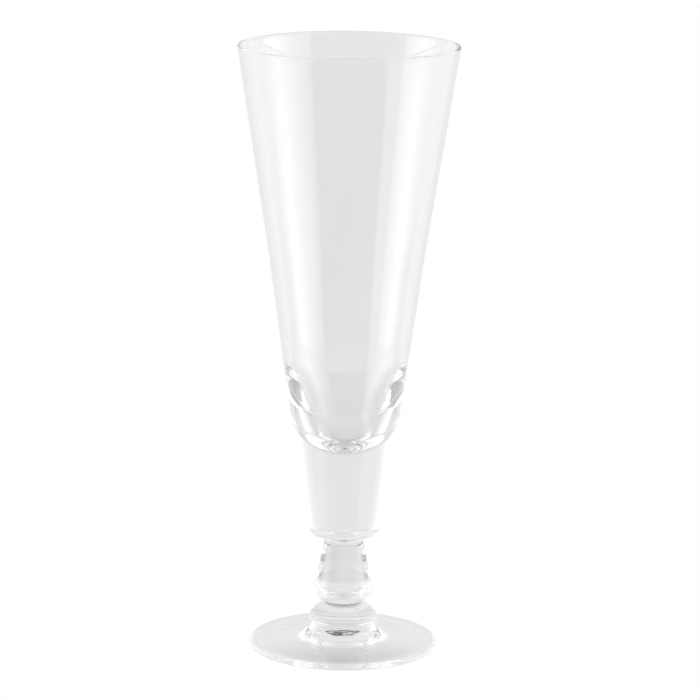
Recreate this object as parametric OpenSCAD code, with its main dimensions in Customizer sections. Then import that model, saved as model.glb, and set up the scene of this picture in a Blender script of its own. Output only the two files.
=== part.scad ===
// A footed pilsner glass in clear glass. A tall flared bowl stands on a thick solid base.
// Under the base come a low collar, a stem that widens downward, a rounded knop and a wide foot.
// Each piece is a solid of revolution round the Z axis. Each one is fused hot onto the next
// along a flat joint, so neighbours meet face to face. The origin is on the table, on the axis.

/* [Bowl] */
// Height of the whole glass, from the table to the lip
glass_h = 230; // [215:1:245]
// Widest outer radius, at the lip
rim_r = 41.3; // [38:0.1:44]
// Thickness of the wall above the thick part, which is also the width of the round lip
wall_t = 1.7; // [1.3:0.1:2.2]
// Height of the straight flare under the lip
flare_h = 80; // [60:1:95]
// Outer radius at the bottom of the straight flare
flare_r = 28.95; // [27:0.05:31]
// How far the lower wall bulges beyond a straight line
swell = 0.33; // [0:0.01:0.8]
// Radius of the round bottom of the hollow
hollow_r = 13.2; // [11:0.1:14.5]
// Thickness of the glass between the hollow and the joint with the base
floor_t = 2.6; // [1.5:0.1:6]
// Height over the hollow's lowest point at which the wall has thinned out
thinning_h = 35.4; // [28:0.2:50]
// How slowly the wall starts to thicken there: 1 is at once, 2 is very slowly
thinning_power = 1.35; // [1:0.05:2]
// Angle below the horizontal where the round bottom runs into the wall
round_end_a = 20; // [12:1:30]

/* [Bowl base] */
// Height of the solid base, from the collar to the joint with the bowl
base_h = 30; // [22:1:36]
// Outer radius of the base at its lower edge
base_r = 13.65; // [12.5:0.05:15]
// Rounding of the lower edge of the base
base_edge_r = 2.2; // [1.5:0.1:3.5]

/* [Collar] */
// Height of the collar
collar_h = 2.8; // [2:0.1:4]
// Outer radius of the collar
collar_r = 8.3; // [7.5:0.1:10]
// Rounding of the collar's lower edge
collar_edge_r = 1.6; // [1:0.1:2]

/* [Stem] */
// Height of the stem
stem_h = 23.35; // [18:0.05:30]
// Radius of the stem where it meets the collar
stem_top_r = 6.9; // [6:0.1:7.3]
// Radius of the stem at its shoulder
shoulder_r = 7.65; // [7.4:0.05:8.5]
// Distance from the collar down to the middle of the shoulder
shoulder_drop = 1.8; // [1.2:0.1:3]
// Rounding of the shoulder
shoulder_edge_r = 1.5; // [1:0.1:2]
// Widest radius of the stem, low down
bulb_r = 11.05; // [10:0.05:12.5]
// Rounding of the stem's lower edge
bulb_edge_r = 3.8; // [2.5:0.1:5]

/* [Knop] */
// Height of the knop with its short neck
knop_h = 8.5; // [7.6:0.05:12]
// Radius of the neck between the stem and the knop
neck_r = 7.2; // [6:0.1:7.6]
// Widest radius of the knop
knop_r = 12.97; // [12:0.01:14.5]
// Radius of the knop's upper round
knop_top_r = 6.7; // [5:0.1:7.5]
// Radius of the knop's lower edge
knop_edge_r = 1.8; // [1.2:0.1:2.6]
// Angle above the horizontal where the two rounds of the knop meet
knop_blend_a = 20; // [12:1:40]

/* [Foot] */
// Outer radius of the foot
foot_r = 35.65; // [32:0.05:39]
// Thickness of the foot at its round edge
foot_t = 2.6; // [2:0.1:3.5]
// Height of the foot at its middle, where the knop sits
foot_h = 9.35; // [7.5:0.05:12]
// Radius of the foot's top, under the knop
boss_r = 11.2; // [10:0.1:12]
// Radius at which the hollow sweep of the foot runs out into its gentle slope
sweep_r = 18.7; // [16:0.1:22]
// Height of the foot's upper face where the sweep runs out
sweep_h = 3.9; // [3.6:0.1:4.6]
// Width of the flat ring that the glass rests on
rest_w = 3.6; // [2:0.1:6]
// Height of the hollow under the foot, at its middle
under_h = 2.6; // [1.2:0.1:3.4]
// Radius of the scar in the middle of the underside
scar_r = 4.6; // [3.5:0.1:6]
// Depth of the scar
scar_h = 0.5; // [0.2:0.1:1]

/* [Hidden] */
$fn = 144;

// Clear glass with the faint green-grey of its thick parts
clear_glass = [0.86, 0.90, 0.89, 0.45];
thick_glass = [0.80, 0.85, 0.84, 0.60];

// Straight steps that a round, a curved wall and the hollow under the foot are divided into
round_steps = 12;
wall_steps = 16;
under_steps = 8;

// Joint planes, from the table up
knop_z = foot_h;
stem_z = knop_z + knop_h;
collar_z = stem_z + stem_h;
base_z = collar_z + collar_h;
bowl_z = base_z + base_h;

// Places on the bowl and its base
lip_r = wall_t / 2;
rim_z = glass_h - lip_r;
flare_z = glass_h - flare_h;
edge_c = [base_r - base_edge_r, base_z + base_edge_r];
heel_a = touch_angle(edge_c, base_edge_r, [flare_r, flare_z]);
heel = on_circle(edge_c, base_edge_r, heel_a);
hollow_z = bowl_z + floor_t + hollow_r;
round_end = on_circle([0, hollow_z], hollow_r, -round_end_a);
thin_z = bowl_z + floor_t + thinning_h;
round_end_t = outer_r(round_end.y) - round_end.x;

// Places on the stem
shoulder_c = [shoulder_r - shoulder_edge_r, collar_z - shoulder_drop];
bulb_c = [bulb_r - bulb_edge_r, stem_z + bulb_edge_r];
side_a = touch_angle(bulb_c, bulb_edge_r - shoulder_edge_r, shoulder_c);
shoulder_end_a = acos((stem_top_r - shoulder_c.x) / shoulder_edge_r);

// Places on the knop
knop_edge_c = [knop_r - knop_edge_r, knop_z + knop_edge_r];
knop_top_c = on_circle(knop_edge_c, knop_edge_r - knop_top_r, knop_blend_a);
knop_end_a = acos((neck_r - knop_top_c.x) / knop_top_r);

// Places on the foot: its round edge, and the circle of its sweep, which passes through
// the top of the foot and touches the slope where the sweep runs out
rim_edge_r = foot_t / 2;
rim_edge_c = [foot_r - rim_edge_r, rim_edge_r];
sweep_end = [sweep_r, sweep_h];
slope_a = touch_angle(rim_edge_c, rim_edge_r, sweep_end);
sweep_out = [cos(slope_a), sin(slope_a)];
sweep_chord = [boss_r, foot_h] - sweep_end;
sweep_circle_r = sweep_chord * sweep_chord / (2 * sweep_chord * sweep_out);
sweep_c = sweep_end + sweep_circle_r * sweep_out;
rest_r = rim_edge_c.x - rest_w;

// A point of a circle, given the angle from its +X side
function on_circle(c, r, a) = c + r * [cos(a), sin(a)];

// A round stretch of an outline, without its last point
function round_to(c, r, from_a, to_a) = [for (i = [0 : round_steps - 1])
    on_circle(c, r, from_a + (to_a - from_a) * i / round_steps)];

// Angle at which a line from an outside point touches a circle, on the line's outer side
function touch_angle(c, r, p) = atan2(p.y - c.y, p.x - c.x) - acos(r / norm(p - c));

// Outer radius of the bowl and of its base at a height: a straight flare above, and a wall
// with a slight bulge below
function outer_r(z) = z >= flare_z
    ? flare_r + (rim_r - flare_r) * (z - flare_z) / (rim_z - flare_z)
    : let (down = (flare_z - z) / (flare_z - heel.y))
      flare_r + (heel.x - flare_r) * down + 4 * swell * down * (1 - down);

// Radius of the hollow at a height: the wall grows thicker toward the round bottom
function inner_r(z) = outer_r(z) - wall_t
    - (round_end_t - wall_t) * pow(max(0, (thin_z - z) / (thin_z - round_end.y)), thinning_power);

// Even steps from one value toward another, without the last one
function steps_to(a, b, n) = [for (i = [0 : n - 1]) a + (b - a) * i / n];

// A closed outline, given as radius and height, turned round the axis
module turned(outline) {
    rotate_extrude() polygon(outline);
}

module bowl() {
    walls = concat(steps_to(bowl_z, flare_z, wall_steps), [flare_z]);
    inside = concat([rim_z, flare_z], steps_to(thin_z, round_end.y, wall_steps));
    color(clear_glass) turned(concat([[0, bowl_z]],
        [for (z = walls) [outer_r(z), z]],
        round_to([rim_r - lip_r, rim_z], lip_r, 0, 180),
        [for (z = inside) [inner_r(z), z]],
        round_to([0, hollow_z], hollow_r, -round_end_a, -90),
        [[0, hollow_z - hollow_r]]));
}

module bowl_base() {
    walls = concat(steps_to(heel.y, bowl_z, wall_steps), [bowl_z]);
    color(thick_glass) turned(concat([[0, base_z]],
        round_to(edge_c, base_edge_r, -90, heel_a),
        [for (z = walls) [outer_r(z), z]],
        [[0, bowl_z]]));
}

module collar() {
    edge = [collar_r - collar_edge_r, collar_z + collar_edge_r];
    color(thick_glass) turned(concat([[0, collar_z]],
        round_to(edge, collar_edge_r, -90, 0),
        [[collar_r, edge.y], [collar_r, base_z], [0, base_z]]));
}

module stem() {
    color(thick_glass) turned(concat([[0, stem_z]],
        round_to(bulb_c, bulb_edge_r, -90, side_a),
        [on_circle(bulb_c, bulb_edge_r, side_a)],
        round_to(shoulder_c, shoulder_edge_r, side_a, shoulder_end_a),
        [on_circle(shoulder_c, shoulder_edge_r, shoulder_end_a)],
        [[stem_top_r, collar_z], [0, collar_z]]));
}

module knop() {
    color(thick_glass) turned(concat([[0, knop_z]],
        round_to(knop_edge_c, knop_edge_r, -90, knop_blend_a),
        round_to(knop_top_c, knop_top_r, knop_blend_a, knop_end_a),
        [on_circle(knop_top_c, knop_top_r, knop_end_a), [neck_r, stem_z], [0, stem_z]]));
}

module foot() {
    hollow = [for (r = steps_to(scar_r, rest_r, under_steps))
        [r, under_h * (1 - pow(r / rest_r, 2))]];
    scar_z = hollow[0].y + scar_h;
    boss = [boss_r, foot_h];
    boss_a = atan2(foot_h - sweep_c.y, boss_r - sweep_c.x) + 360;
    color(clear_glass) turned(concat([[0, scar_z], [scar_r, scar_z]],
        hollow, [[rest_r, 0]],
        round_to(rim_edge_c, rim_edge_r, -90, slope_a),
        [on_circle(rim_edge_c, rim_edge_r, slope_a)],
        round_to(sweep_c, sweep_circle_r, slope_a + 180, boss_a),
        [boss, [0, foot_h]]));
}

bowl();
bowl_base();
collar();
stem();
knop();
foot();
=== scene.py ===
# %% [markdown]
# # A footed pilsner glass
# The real glass was made hot from clear glass. It has a tall flared bowl, a thick solid base
# under the bowl, a low collar, a stem that widens downward, a rounded knop and a wide foot.
# Each of them is a gather of glass stuck on while it glowed, so the joints do not show. Here
# every piece is its own closed mesh, and the finish is chosen so that light passes the joints
# as if the glass were one. We start by loading the construction model, which says where
# everything is. One unit is one metre, and Z points up from the table.

# %% Load the construction model
import bpy
import math
from mathutils import Matrix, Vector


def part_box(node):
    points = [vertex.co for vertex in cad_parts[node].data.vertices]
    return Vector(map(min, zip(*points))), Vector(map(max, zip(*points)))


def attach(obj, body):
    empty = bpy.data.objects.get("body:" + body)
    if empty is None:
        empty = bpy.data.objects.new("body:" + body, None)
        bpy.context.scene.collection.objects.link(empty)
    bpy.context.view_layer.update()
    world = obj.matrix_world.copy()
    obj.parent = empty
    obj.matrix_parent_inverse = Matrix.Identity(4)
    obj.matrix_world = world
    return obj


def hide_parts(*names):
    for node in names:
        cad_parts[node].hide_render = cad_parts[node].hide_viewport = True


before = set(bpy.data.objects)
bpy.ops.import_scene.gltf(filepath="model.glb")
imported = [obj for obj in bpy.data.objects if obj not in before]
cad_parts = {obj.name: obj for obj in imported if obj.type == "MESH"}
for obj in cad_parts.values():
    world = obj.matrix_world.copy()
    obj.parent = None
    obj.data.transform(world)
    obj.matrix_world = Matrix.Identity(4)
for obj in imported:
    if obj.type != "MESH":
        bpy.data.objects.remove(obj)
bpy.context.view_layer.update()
print("nodes:", sorted(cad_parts))

# %% [markdown]
# ## Reading the heights off the model
# A glass is a stack. If every piece takes its top and bottom from the loaded model, they meet
# exactly, however the model is resized. We could type the heights again, but then they could
# drift apart. Outlines are drawn in millimetres, because a glassmaker's sizes are easy to read
# that way, and one factor turns them into metres when the mesh is made.

# %% Heights and widest radii
MM = 0.001


def heights(node):
    low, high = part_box(node)
    return low.z / MM, high.z / MM


def widest(node):
    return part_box(node)[1].x / MM


knop_z = heights("foot")[1]
stem_z, collar_z = heights("stem")
base_z, bowl_z = heights("bowl_base")
glass_h = heights("bowl")[1]
print("joints at", [round(z, 2) for z in (knop_z, stem_z, collar_z, base_z, bowl_z)], "mm")

# %% [markdown]
# ## Drawing with arcs and straight lines
# An outline of hot-worked glass is made of round stretches, straight ones and long slow curves.
# A drawn list of points would hide that, so a round stretch is written as a centre, a radius
# and two angles. Angles are in degrees, counted from the outer side toward the top, as on a
# drawing. Every stretch leaves its last point out, because the next stretch starts with it.

# %% Arcs, lines and tangents
ARC_STEPS = 20


def even_steps(start, end, count):
    """Values from start toward end, the end left out."""
    return [start + (end - start) * i / count for i in range(count)]


def on_circle(centre, radius, angle):
    a = math.radians(angle)
    return centre[0] + radius * math.cos(a), centre[1] + radius * math.sin(a)


def arc(centre, radius, start, end, steps=ARC_STEPS):
    return [on_circle(centre, radius, angle) for angle in even_steps(start, end, steps)]


def straight(start, end, steps):
    return list(zip(even_steps(start[0], end[0], steps), even_steps(start[1], end[1], steps)))


def touch_angle(centre, radius, point):
    """Where a line from an outside point touches a circle, on the line's outer side."""
    dx, dz = point[0] - centre[0], point[1] - centre[1]
    return math.degrees(math.atan2(dz, dx) - math.acos(radius / math.hypot(dx, dz)))


print("a quarter round has", len(arc((0, 0), 1, 0, 90)), "steps")

# %% [markdown]
# ## The outside of the wall
# The flare under the lip is straight, and below it the wall bulges a hair beyond a straight
# line, down to the heel, where it touches the rounded lower edge of the base. A short function
# gives the outer radius at any height, so the bowl and the base below it share one surface.

# %% Outer radius
rim_r = widest("bowl")
wall_t = 1.7
rim_z = glass_h - wall_t / 2
flare_h = 80
flare_z = glass_h - flare_h
flare_r = 28.95
swell = 0.33
base_r = 13.65
base_edge_r = 2.2
base_edge = (base_r - base_edge_r, base_z + base_edge_r)
heel_a = touch_angle(base_edge, base_edge_r, (flare_r, flare_z))
heel = on_circle(base_edge, base_edge_r, heel_a)


def outer_r(z):
    """Straight in the flare. Below it, the swell is largest halfway down."""
    if z >= flare_z:
        return flare_r + (rim_r - flare_r) * (z - flare_z) / (rim_z - flare_z)
    down = (flare_z - z) / (flare_z - heel[1])
    return flare_r + (heel[0] - flare_r) * down + 4 * swell * down * (1 - down)


print("outer radius at the joint with the base:", round(outer_r(bowl_z), 2), "mm")

# %% [markdown]
# ## The inside of the wall
# The inside follows the outside at an even thickness until the thick lower part, where the wall
# swells toward the hollow's round bottom. A power a little over 1 makes the thickening start
# softly. In solid glass such a change is plain to see, so it has to be a smooth one.

# %% Inner radius
floor_t = 2.6
hollow_r = 13.2
hollow_c = (0, bowl_z + floor_t + hollow_r)
round_end_a = -20
round_end = on_circle(hollow_c, hollow_r, round_end_a)
thinning_h = 35.4
thin_z = bowl_z + floor_t + thinning_h
thickening = 1.35
extra_t = outer_r(round_end[1]) - round_end[0] - wall_t


def inner_r(z):
    down = max(0, (thin_z - z) / (thin_z - round_end[1]))
    return outer_r(z) - wall_t - extra_t * down ** thickening


print("wall at the hollow's round bottom:", round(extra_t + wall_t, 2), "mm")

# %% [markdown]
# ## One ring of the lathe
# Everything here is round, so each piece is an outline turned about the axis. Blender's Screw
# modifier can do it, but then the two ends on the axis make doubled points. Building the rings
# by hand keeps the mesh closed, and lets the surface waver by about a hundredth of a millimetre,
# as hand-made glass does. Each point of an outline becomes a ring, and a function that the
# piece brings along moves the ring's points.

# %% Ring points
AROUND = 192
TINY = 1e-6


def ring_points(r, z, waver):
    """The points of one ring, or the single point of an outline's end on the axis."""
    if r < TINY:
        return [(0, 0, z * MM)]
    points = []
    for i in range(AROUND):
        angle = 2 * math.pi * i / AROUND
        moved_r, moved_z = waver(r, z, angle)
        points.append((moved_r * MM * math.cos(angle), moved_r * MM * math.sin(angle),
                       moved_z * MM))
    return points


print("each ring has", AROUND, "points, and one alone on the axis")

# %% [markdown]
# ## Turning an outline
# Two rings that follow each other are joined by a hoop of faces. On the axis a ring is a single
# point, so its hoop is made of triangles, and no doubled points are left. As we build the faces
# ourselves, we also know which ones are flat joints and which ones belong to the rough scar,
# and can give them a finish of their own. Edges of more than 30 degrees stay crisp, and all
# others are shaded smooth.

# %% The lathe
SHARP = math.radians(30)
GLASS, JOINT, ROUGH = range(3)


def turned(name, outline, finishes, joints, waver, rough=None):
    """A closed piece from (radius, height) points, from the axis round to the axis."""
    points, rings, faces, finish_of = [], [], [], []
    for r, z in outline:
        ring = ring_points(r, z, waver)
        rings.append([len(points) + i % len(ring) for i in range(AROUND)])
        points += ring
    hoops = list(zip(rings, outline))
    for (low, below), (high, above) in zip(hoops, hoops[1:]):
        flat = any(abs(below[1] - z) < TINY and abs(above[1] - z) < TINY for z in joints)
        ground = rough is not None and rough(below) and rough(above)
        for i in range(AROUND):
            j = (i + 1) % AROUND
            corners = list(dict.fromkeys((low[i], low[j], high[j], high[i])))
            if len(corners) > 2:
                faces.append(corners)
                finish_of.append(JOINT if flat else ROUGH if ground else GLASS)
    mesh = bpy.data.meshes.new(name)
    mesh.from_pydata(points, [], faces)
    for finish in finishes:
        mesh.materials.append(finish)
    for polygon, index in zip(mesh.polygons, finish_of):
        polygon.material_index = index
    mesh.shade_smooth()
    mesh.set_sharp_from_angle(angle=SHARP)
    piece = bpy.data.objects.new(name, mesh)
    bpy.context.scene.collection.objects.link(piece)
    print(f"{name}: {len(points)} points, {len(faces)} faces")
    return piece


print("edges stay sharp over", round(math.degrees(SHARP)), "degrees")

# %% [markdown]
# ## A wavering surface
# Glass shaped by hand is never quite round. The shaping and the reheating leave slow waves,
# which bend the reflections of the lamps a little. Noise textures could fake that in the
# finish, but waves in the shape also move what is seen through the wall. A few sine waves
# with unlike counts give an uneven surface that comes out the same each time.

# %% Slow waves
wave_h = 0.012


def slow_wave(z, angle):
    """From -1 to 0, so that a surface only ever moves toward the axis."""
    total = math.sin(3 * angle + z / 23) + math.sin(7 * angle - z / 17 + 1.3)
    total += 0.6 * math.sin(11 * angle + z / 9 + 0.7) + 0.4 * math.sin(2 * angle + z / 5)
    return (total / 3 - 1) / 2


def wavering(r, z, angle):
    return r + wave_h * slow_wave(z, angle), z


moves = [wavering(0, z, math.radians(5 * i))[0] for z in range(0, 230, 5) for i in range(72)]
print("the surface moves by", round(min(moves), 4), "to", round(max(moves), 4), "mm")

# %% [markdown]
# ## A helper for node trees
# A finish in Blender is a tree of nodes. One node comes up again and again: Map Range, which
# moves a number from one range to another. Adding, setting and linking it takes six lines, so a
# helper does it in one.

# %% Moving a number to another range
RANGE_SOCKETS = ("From Min", "From Max", "To Min", "To Max")


def moved_range(tree, value, start, end, least=0, most=1):
    """The output of a Map Range node that is fed by a socket."""
    node = tree.nodes.new("ShaderNodeMapRange")
    for socket, number in zip(RANGE_SOCKETS, (start, end, least, most)):
        node.inputs[socket].default_value = number
    tree.links.new(value, node.inputs["Value"])
    return node.outputs["Result"]


print("Map Range sockets that are set:", RANGE_SOCKETS)

# %% [markdown]
# ## Cords in the glass
# Very faint cords, streaks where the melt was less well mixed, run up the wall. They come from
# one noise drawn out along the height. It shifts the tint between two almost equal greys, and
# later the same noise makes a weak bump, so that tint and reflections are uneven together.

# %% Cords and their tint
CORDS_PER_METRE = (90, 90, 14)
TINT_STOPS = (0.35, 0.65)


def cord_noise(tree, place):
    """The socket of a noise from 0 to 1, drawn out along Z."""
    stretch = tree.nodes.new("ShaderNodeMapping")
    stretch.inputs["Scale"].default_value = CORDS_PER_METRE
    cords = tree.nodes.new("ShaderNodeTexNoise")
    cords.name = "cords"
    cords.inputs["Scale"].default_value = 1
    cords.inputs["Detail"].default_value = 3
    tree.links.new(place, stretch.inputs["Vector"])
    tree.links.new(stretch.outputs["Vector"], cords.inputs["Vector"])
    return cords.outputs["Fac"]


def cord_tint(tree, cords, pale, deep):
    """The socket of a colour between the deep and the pale one."""
    tint = tree.nodes.new("ShaderNodeValToRGB")
    for stop, share, color in zip(tint.color_ramp.elements, TINT_STOPS, (deep, pale)):
        stop.position = share
        stop.color = (*color, 1)
    tree.links.new(cords, tint.inputs["Fac"])
    return tint.outputs["Color"]


print("cords per metre across and along:", CORDS_PER_METRE[0], CORDS_PER_METRE[2])

# %% [markdown]
# ## Clear glass
# Clear glass is almost all light from elsewhere: it bends what is behind it and mirrors a
# little of what is around it. A Principled shader with full transmission does both, and an
# index of refraction of 1.52 is that of common soda glass. Thick glass swallows a little more
# light, so the tint deepens with depth, from the thin wall down to the solid base. It has to
# change slowly: a sudden change would draw a line across the bowl.

# %% Glass finishes
GLASS_IOR = 1.52
THICK_GREY = 0.965
PALE = (0.99, 0.992, 0.991)
THIN_DEEP = (0.975, 0.979, 0.977)
THICK_DEEP = (0.97, 0.974, 0.972)
CORD_H = 0.01


def glass(name, pale, deep, cord_h):
    finish = bpy.data.materials.new(name)
    finish.use_nodes = True
    tree = finish.node_tree
    shader = tree.nodes["Principled BSDF"]
    shader.inputs["Transmission Weight"].default_value = 1
    shader.inputs["Roughness"].default_value = 0
    shader.inputs["IOR"].default_value = GLASS_IOR
    place = tree.nodes.new("ShaderNodeTexCoord").outputs["Object"]
    cords = cord_noise(tree, place)
    parts = tree.nodes.new("ShaderNodeSeparateXYZ")
    tree.links.new(place, parts.inputs["Vector"])
    depth = moved_range(tree, parts.outputs["Z"], bowl_z * MM, thin_z * MM, THICK_GREY)
    shade = tree.nodes.new("ShaderNodeVectorMath")
    shade.operation = "SCALE"
    tree.links.new(cord_tint(tree, cords, pale, deep), shade.inputs[0])
    tree.links.new(depth, shade.inputs["Scale"])
    tree.links.new(shade.outputs["Vector"], shader.inputs["Base Color"])
    bump = tree.nodes.new("ShaderNodeBump")
    bump.inputs["Strength"].default_value = 1
    bump.inputs["Distance"].default_value = cord_h * MM
    tree.links.new(cords, bump.inputs["Height"])
    tree.links.new(bump.outputs["Normal"], shader.inputs["Normal"])
    return finish


clear_glass = glass("clear_glass", PALE, THIN_DEEP, CORD_H)
thick_glass = glass("thick_glass", PALE, THICK_DEEP, CORD_H)
print("finishes:", clear_glass.name, thick_glass.name)

# %% [markdown]
# ## Joints that do not show
# Where two gathers were fused hot, there is no surface left between them. Two closed meshes
# still need a face each at the joint. Given glass, these faces would mirror like a crack.
# A fully clear finish on the joint faces alone lets light go straight on.

# %% The finish of a fused joint
fused = bpy.data.materials.new("fused_joint")
fused.use_nodes = True
fused.node_tree.nodes["Principled BSDF"].inputs["Alpha"].default_value = 0
print("finish:", fused.name)

# %% [markdown]
# ## The bowl
# The bowl holds the beer: a round-bottomed hollow in a tall flared wall, with a fire-polished
# lip. Fire polishing melts the cut edge into a full round, so the lip is half a circle across
# the wall. The outline runs from the joint up the outside, over the lip and down inside.

# %% Bowl
WALL_STEPS = 60
bowl_walls = even_steps(bowl_z, flare_z, WALL_STEPS) + even_steps(flare_z, rim_z, WALL_STEPS)
bowl_inside = even_steps(rim_z, thin_z, WALL_STEPS) + even_steps(thin_z, round_end[1], WALL_STEPS)
bowl_outline = [(0, bowl_z)]
bowl_outline += [(outer_r(z), z) for z in bowl_walls]
bowl_outline += arc((rim_r - wall_t / 2, rim_z), wall_t / 2, 0, 180)
bowl_outline += [(inner_r(z), z) for z in bowl_inside]
bowl_outline += arc(hollow_c, hollow_r, round_end_a, -90, steps=2 * ARC_STEPS)
bowl_outline += [(0, hollow_c[1] - hollow_r)]
bowl = turned("clear_bowl", bowl_outline, [clear_glass, fused], [bowl_z], wavering)

# %% [markdown]
# ## The base of the bowl
# Under the hollow the bowl is solid glass, a short cone with a rounded lower edge. It carries
# on the wall's own curve, so its outline asks the same function for its radii.

# %% Base of the bowl
base_outline = [(0, base_z)]
base_outline += arc(base_edge, base_edge_r, -90, heel_a)
base_outline += [(outer_r(z), z) for z in even_steps(heel[1], bowl_z, WALL_STEPS)]
base_outline += [(outer_r(bowl_z), bowl_z), (0, bowl_z)]
base = turned("solid_base", base_outline, [thick_glass, fused], [base_z, bowl_z], wavering)

# %% [markdown]
# ## The collar
# A low disc of glass joins the base to the stem. Its lower edge is rounded by the heat, and its
# upper edge is lost in the base above.

# %% Collar
collar_r = widest("collar")
collar_edge_r = 1.6
collar_edge = (collar_r - collar_edge_r, collar_z + collar_edge_r)
collar_outline = [(0, collar_z)]
collar_outline += arc(collar_edge, collar_edge_r, -90, 0)
collar_outline += straight((collar_r, collar_edge[1]), (collar_r, base_z), steps=3)
collar_outline += [(collar_r, base_z), (0, base_z)]
collar = turned("low_collar", collar_outline, [thick_glass, fused], [collar_z, base_z], wavering)

# %% [markdown]
# ## The stem
# The stem starts with a small rounded shoulder, widens in a straight line and ends in a full
# round bulb. The straight side touches both rounds, so its angle is worked out from them.

# %% Stem
bulb_edge_r = 3.8
bulb = (widest("stem") - bulb_edge_r, stem_z + bulb_edge_r)
shoulder_r = 7.65
shoulder_drop = 1.8
shoulder_edge_r = 1.5
shoulder = (shoulder_r - shoulder_edge_r, collar_z - shoulder_drop)
stem_top_r = 6.9
side_a = touch_angle(bulb, bulb_edge_r - shoulder_edge_r, shoulder)
shoulder_end_a = math.degrees(math.acos((stem_top_r - shoulder[0]) / shoulder_edge_r))
side_low = on_circle(bulb, bulb_edge_r, side_a)
side_high = on_circle(shoulder, shoulder_edge_r, side_a)
stem_outline = [(0, stem_z)]
stem_outline += arc(bulb, bulb_edge_r, -90, side_a)
stem_outline += straight(side_low, side_high, steps=20)
stem_outline += arc(shoulder, shoulder_edge_r, side_a, shoulder_end_a)
stem_outline += [on_circle(shoulder, shoulder_edge_r, shoulder_end_a)]
stem_outline += [(stem_top_r, collar_z), (0, collar_z)]
stem = turned("flared_stem", stem_outline, [thick_glass, fused], [stem_z, collar_z], wavering)

# %% [markdown]
# ## The knop
# A knop is a bead of glass under the stem. This one has a large round above and a tighter
# round at its lower edge, and a short neck leads into the stem.

# %% Knop
knop_edge_r = 1.8
knop_top_r = 6.7
knop_blend_a = 20
neck_r = 7.2
knop_edge = (widest("knop") - knop_edge_r, knop_z + knop_edge_r)
knop_top = on_circle(knop_edge, knop_edge_r - knop_top_r, knop_blend_a)
knop_end_a = math.degrees(math.acos((neck_r - knop_top[0]) / knop_top_r))
knop_outline = [(0, knop_z)]
knop_outline += arc(knop_edge, knop_edge_r, -90, knop_blend_a)
knop_outline += arc(knop_top, knop_top_r, knop_blend_a, knop_end_a)
knop_outline += [on_circle(knop_top, knop_top_r, knop_end_a), (neck_r, stem_z), (0, stem_z)]
knop = turned("round_knop", knop_outline, [thick_glass, fused], [knop_z, stem_z], wavering)

# %% [markdown]
# ## The upper side of the foot
# The foot is a wide thin disc with a fire-polished rim. Its top slopes gently and then sweeps
# up to the knop. The sweep is an arc that touches the slope and passes through the top of the
# foot, so its radius follows from these two, and we need not guess it.

# %% Upper side of the foot
foot_edge_r = 1.3
foot_edge = (widest("foot") - foot_edge_r, foot_edge_r)
boss_r = 11.2
sweep_end = (18.7, 3.9)
slope_a = touch_angle(foot_edge, foot_edge_r, sweep_end)
out = on_circle((0, 0), 1, slope_a)
chord = (boss_r - sweep_end[0], knop_z - sweep_end[1])
sweep_circle_r = (chord[0] ** 2 + chord[1] ** 2) / (2 * (chord[0] * out[0] + chord[1] * out[1]))
sweep_c = (sweep_end[0] + sweep_circle_r * out[0], sweep_end[1] + sweep_circle_r * out[1])
boss_a = math.degrees(math.atan2(knop_z - sweep_c[1], boss_r - sweep_c[0])) + 360
foot_top = arc(foot_edge, foot_edge_r, -90, slope_a)
foot_top += straight(on_circle(foot_edge, foot_edge_r, slope_a), sweep_end, steps=24)
foot_top += arc(sweep_c, sweep_circle_r, slope_a + 180, boss_a, steps=2 * ARC_STEPS)
foot_top += [(boss_r, knop_z), (0, knop_z)]
print("radius of the sweep:", round(sweep_circle_r, 2), "mm")

# %% [markdown]
# ## The underside and its scar
# The glass rests on a flat ring, and inside it the underside rises a little, so that the middle
# never touches the table. There sits the pontil scar: the glass was held on an iron while the
# lip was finished, and breaking it off left a shallow rough patch with a ragged edge. The
# ragged edge comes from moving the scar's rings in and out with the angle.

# %% Underside and scar
rest_w = 3.6
rest_r = foot_edge[0] - rest_w
under_h = 2.6
scar_r = 4.6
scar_h = 0.5
scar_dome_h = 0.2
scar_side_w = 0.15
ragged_share = 0.06
ragged_reach = 0.5 * scar_r


def under_z(r):
    return under_h * (1 - (r / rest_r) ** 2)


def ragged(angle):
    return math.sin(5 * angle) + 0.7 * math.sin(9 * angle + 2) + 0.5 * math.sin(16 * angle + 1)


def scarred(r, z, angle):
    """Ragged rings round the scar, and the slow waves everywhere else."""
    if z > under_z(0) + scar_h or r > scar_r + ragged_reach:
        return wavering(r, z, angle)
    share = 1 - abs(r - scar_r) / ragged_reach if r > ragged_reach else r / scar_r
    return r + ragged_share * scar_r * share * ragged(angle), z


scar_top = under_z(scar_r) + scar_h
foot_under = [(0, scar_top)]
foot_under += [(r, scar_top - scar_dome_h * (r / scar_r) ** 2)
               for r in even_steps(0, scar_r, count=8)[1:]]
foot_under += [(scar_r, scar_top - scar_dome_h)]
foot_under += [(r, under_z(r)) for r in even_steps(scar_r + scar_side_w, rest_r, count=30)]
foot_under += [(rest_r, 0)]
print("the scar lies", round(scar_top, 2), "mm over the table")
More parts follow.
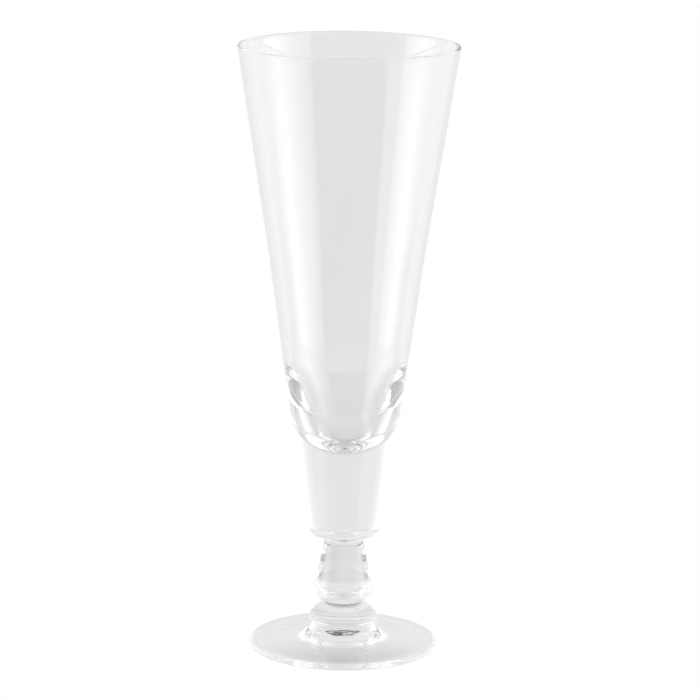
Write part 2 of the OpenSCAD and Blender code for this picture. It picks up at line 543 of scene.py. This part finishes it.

# %% [markdown]
# ## The scar's rough glass and its painted shade
# The break is full of small chips, and it is the one dark spot of the glass. That darkness is
# painted shade: a dark grey tint stands in for the shade among the chips. Seen at this low angle,
# a clear underside would mirror like silver. So a fine noise picks dull patches of painted shade,
# where no light gets through, and clear ones between them, and makes the clear ones rough as
# well.

# %% Rough glass and the foot
# The two greys of the scar are painted shade, not a colour of the glass.
SCAR_PAINTED_SHADE_PALE = (0.5, 0.5, 0.5)
SCAR_PAINTED_SHADE_DEEP = (0.1, 0.1, 0.1)
CHIP_H = 0.12
CHIPS_PER_CORD = 8
SMOOTHEST, ROUGHEST = 0.15, 0.5
# Under this share of the noise the patches are dull: painted shade that lets no light through.
PAINTED_SHADE_UNDER, CLEAR_OVER = 0.52, 0.62
rough_glass_painted_shade = glass("rough_glass_painted_shade", SCAR_PAINTED_SHADE_PALE, SCAR_PAINTED_SHADE_DEEP, CHIP_H)
rough_tree = rough_glass_painted_shade.node_tree
rough_shader = rough_tree.nodes["Principled BSDF"]
chips = rough_tree.nodes["cords"]
chips.inputs["Scale"].default_value = CHIPS_PER_CORD
roughness = moved_range(rough_tree, chips.outputs["Fac"], 0, 1, SMOOTHEST, ROUGHEST)
clearness = moved_range(rough_tree, chips.outputs["Fac"], PAINTED_SHADE_UNDER, CLEAR_OVER)
rough_tree.links.new(roughness, rough_shader.inputs["Roughness"])
rough_tree.links.new(clearness, rough_shader.inputs["Transmission Weight"])


def in_scar(point):
    return point[0] <= scar_r and point[1] <= scar_top


foot = turned("wide_foot", foot_under + foot_top, [clear_glass, fused, rough_glass_painted_shade], [knop_z],
              scarred, in_scar)

# %% [markdown]
# ## Saying what each piece stands for
# The construction model has the same six pieces as plain solids. Each dressed piece hides its
# own one and rides on the one body of this glass.

# %% Pieces and the nodes they replace
dressed = [(bowl, "bowl", "clear_glass"), (base, "bowl_base", "thick_glass"),
           (collar, "collar", "thick_glass"), (stem, "stem", "thick_glass"),
           (knop, "knop", "thick_glass"), (foot, "foot", "clear_glass")]
for piece, node, finish in dressed:
    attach(piece, "root")
    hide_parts(node)
print("dressed:", [piece.name for piece, node, finish in dressed])

# %% [markdown]
# ## A white table
# Product pictures of glass are often taken on a white sweep that is brighter than anything
# else, so the table is a plain white plane, wide enough to fill every view. It lies a fifth of
# a millimetre under the foot, because two faces in the same place would flicker.

# %% Table
TABLE_HALF = 3
TABLE_DROP = 0.0002
table_mesh = bpy.data.meshes.new("table")
table_mesh.from_pydata([(-TABLE_HALF, -TABLE_HALF, 0), (TABLE_HALF, -TABLE_HALF, 0),
                        (TABLE_HALF, TABLE_HALF, 0), (-TABLE_HALF, TABLE_HALF, 0)],
                       [], [(0, 1, 2, 3)])
table = bpy.data.objects.new("table", table_mesh)
table.location.z = -TABLE_DROP
bpy.context.scene.collection.objects.link(table)
print("table:", 2 * TABLE_HALF, "m wide")

# %% [markdown]
# ## The white of the table
# A lit white plane would throw grainy light spots through the glass. This one shows white to
# the camera and lets all other light through, so what the glass mirrors from below comes from
# the studio light alone. One thing of a real table is kept: the foot's own soft shadow. It
# falls toward the camera, is lost in the white of the picture, and is still seen through the
# front of the foot, which it turns a little greyer.

# %% White with a soft shadow
SHADOW_MIDDLE = (0, -0.026, 0)
SHADOW_REACH = 0.035
LIGHT_IN_SHADOW = 0.7
white = bpy.data.materials.new("white_table")
white.use_nodes = True
tree = white.node_tree
tree.nodes.clear()
spot = tree.nodes.new("ShaderNodeTexCoord")
away = tree.nodes.new("ShaderNodeVectorMath")
away.operation = "DISTANCE"
away.inputs[1].default_value = SHADOW_MIDDLE
through = tree.nodes.new("ShaderNodeBsdfTransparent")
glow = tree.nodes.new("ShaderNodeEmission")
path = tree.nodes.new("ShaderNodeLightPath")
choose = tree.nodes.new("ShaderNodeMixShader")
result = tree.nodes.new("ShaderNodeOutputMaterial")
tree.links.new(spot.outputs["Object"], away.inputs[0])
passed = moved_range(tree, away.outputs["Value"], 0, SHADOW_REACH, LIGHT_IN_SHADOW)
tree.links.new(passed, through.inputs["Color"])
tree.links.new(path.outputs["Is Camera Ray"], choose.inputs["Fac"])
tree.links.new(through.outputs["BSDF"], choose.inputs[1])
tree.links.new(glow.outputs["Emission"], choose.inputs[2])
tree.links.new(choose.outputs["Shader"], result.inputs["Surface"])
table_mesh.materials.append(white)
print("finish:", white.name)

# %% [markdown]
# ## Studio light
# Clear glass is lit by what surrounds it. A photographer puts large soft boxes at both sides
# and leaves the camera's side dim, so that the bowl's middle turns grey and its flanks turn
# white. The whole surround is written here as bands of brightness, one for each range of
# height, with stops by compass angle. 0 is the camera's side, and plus is to its right.
# The level band is what we see straight through the glass, from whichever side we look. So it
# stays a little under white nearly all round, because the glass would vanish in front of white.
# Each pair of band edges gives the heights in degrees between which two bands blend.

# %% Bands of brightness
BRIGHTEST = 3
SIDES = {
    "below": [(-180, 0.75), (180, 0.75)],
    "low": [(-180, 0.8), (-150, 0.75), (-118, 0.7), (-90, 1.4), (-60, 1.2), (-48, 0.7),
            (-43, 0.4), (42, 0.4), (44, 1.2), (66, 1.2), (90, 1.4), (118, 0.7), (150, 0.7),
            (180, 0.8)],
    "level": [(-180, 0.84), (-150, 0.85), (-120, 1.05), (-90, 0.9), (0, 0.84), (90, 0.9),
              (120, 1.05), (150, 0.85), (180, 0.84)],
    "raised": [(-180, 0.9), (-150, 0.75), (-118, 1.6), (-90, 2.9), (-66, 1.7), (-64, 0.8),
               (-43, 0.5), (0, 0.45), (42, 0.4), (45, 1.2), (66, 1.6), (90, 2.9), (118, 1.4),
               (150, 0.75), (180, 0.9)],
    "high": [(-180, 0.85), (-135, 0.9), (-90, 1.2), (0, 0.7), (90, 1.2), (135, 0.8),
             (180, 0.85)],
    "above": [(-180, 0.8), (180, 0.8)],
}
BAND_EDGES = [(-65, -55), (-22.5, -19.5), (-3.5, -0.5), (14, 24), (60, 70)]
print("light bands:", list(SIDES))

# %% [markdown]
# ## Compass and height of the light
# A world in Blender is painted by direction. Two sums turn a direction into a compass angle,
# as a share from 0 to 1 that starts behind the glass, and into a height over the horizon.
# A small helper adds a maths node and links or fills its inputs.

# %% Directions of the surround
world = bpy.data.worlds.new("studio_light")
world.use_nodes = True
bpy.context.scene.world = world
tree = world.node_tree
tree.nodes.clear()


def sum_node(operation, *values):
    """A maths node whose inputs are sockets or plain numbers. Gives its output socket."""
    node = tree.nodes.new("ShaderNodeMath")
    node.operation = operation
    for socket, value in zip(node.inputs, values):
        if isinstance(value, (int, float)):
            socket.default_value = value
        else:
            tree.links.new(value, socket)
    return node.outputs["Value"]


compass = tree.nodes.new("ShaderNodeTexCoord")
parts = tree.nodes.new("ShaderNodeSeparateXYZ")
tree.links.new(compass.outputs["Generated"], parts.inputs["Vector"])
backward = sum_node("MULTIPLY", parts.outputs["Y"], -1)
turn = sum_node("ARCTAN2", parts.outputs["X"], backward)
turn_share = sum_node("MULTIPLY_ADD", turn, 0.5 / math.pi, 0.5)
lift = sum_node("ARCSINE", parts.outputs["Z"])
print("world:", world.name)

# %% [markdown]
# ## From bands to light
# Each band becomes a colour ramp round the compass. A ramp holds values up to 1 only, so we
# divide by the brightest value and multiply again after it. Then the bands are blended one
# after the other, from below to above. The camera itself sees plain white behind the glass.

# %% Painting the surround
def band(stops):
    """A ramp round the compass. Gives the socket with its brightness."""
    ramp = tree.nodes.new("ShaderNodeValToRGB")
    places = ramp.color_ramp.elements
    for index, (angle, value) in enumerate(stops):
        share = angle / 360 + 0.5
        stop = places[index] if index < 2 else places.new(share)
        stop.position = share
        stop.color = (value / BRIGHTEST, value / BRIGHTEST, value / BRIGHTEST, 1)
    tree.links.new(turn_share, ramp.inputs["Fac"])
    return sum_node("MULTIPLY", ramp.outputs["Color"], BRIGHTEST)


def blend(lower, upper, start, end):
    """Goes from the lower band to the upper one between two heights in degrees."""
    rise = moved_range(tree, lift, math.radians(start), math.radians(end))
    mix = tree.nodes.new("ShaderNodeMix")
    tree.links.new(rise, mix.inputs["Factor"])
    tree.links.new(lower, mix.inputs["A"])
    tree.links.new(upper, mix.inputs["B"])
    return mix.outputs["Result"]


bands = [band(stops) for stops in SIDES.values()]
light = bands[0]
for upper, (start, end) in zip(bands[1:], BAND_EDGES):
    light = blend(light, upper, start, end)
seen = tree.nodes.new("ShaderNodeLightPath")
white_behind = tree.nodes.new("ShaderNodeMix")
white_behind.inputs["B"].default_value = 1
tree.links.new(seen.outputs["Is Camera Ray"], white_behind.inputs["Factor"])
tree.links.new(light, white_behind.inputs["A"])
surround = tree.nodes.new("ShaderNodeBackground")
sky = tree.nodes.new("ShaderNodeOutputWorld")
tree.links.new(white_behind.outputs["Result"], surround.inputs["Color"])
tree.links.new(surround.outputs["Background"], sky.inputs["Surface"])
print("nodes in the studio light:", len(tree.nodes))

# %% [markdown]
# ## How light travels in the picture
# Light that enters at the lip is caught in the thin wall and zigzags down it, and each turn
# counts as a bounce. If the count is cut short, the lip and the thick sides turn black, though
# a real lip looks bright. So the paths may be very long. It costs little, because only few of
# them are. The Standard view keeps white as pure white.

# %% Light paths and tone
LONGEST_PATH = 512
scene = bpy.context.scene
scene.cycles.max_bounces = LONGEST_PATH
scene.cycles.transmission_bounces = LONGEST_PATH
scene.cycles.glossy_bounces = LONGEST_PATH
scene.cycles.transparent_max_bounces = LONGEST_PATH
scene.cycles.sample_clamp_indirect = 0
scene.cycles.use_denoising = True
world.cycles.sampling_method = "NONE"
scene.view_settings.view_transform = "Standard"
scene.view_settings.look = "None"
print("longest path:", LONGEST_PATH, "bounces")

# %% [markdown]
# ## The camera
# The glass is seen from a little above, from far enough away that its sides hardly converge.
# The numbers come from fitting the lip's and the foot's ellipses and the outline of the bowl.
# The camera stands on the minus Y side, looks down by twelve degrees and is tilted a little.

# %% Camera
camera_away = 1305.866
camera_h = 394.667
look_down = math.radians(12.099)
tilt = math.radians(0.652)
look_right = math.radians(0.067)
PHOTO_PIXELS = 700
SENSOR_W = 36
FARTHEST_SEEN = 20
focal_pixels = 3558.76
camera_data = bpy.data.cameras.new("camera")
camera_data.sensor_width = SENSOR_W
camera_data.lens = focal_pixels / PHOTO_PIXELS * SENSOR_W
camera_data.clip_end = FARTHEST_SEEN
camera = bpy.data.objects.new("camera", camera_data)
scene.collection.objects.link(camera)
place = Matrix.Translation((0, -camera_away * MM, camera_h * MM))
aim = Matrix.Rotation(-look_right, 4, "Z") @ Matrix.Rotation(math.pi / 2 - look_down, 4, "X")
camera.matrix_world = place @ aim @ Matrix.Rotation(tilt, 4, "Z")
scene.camera = camera
print("lens:", round(camera_data.lens, 1), "mm")
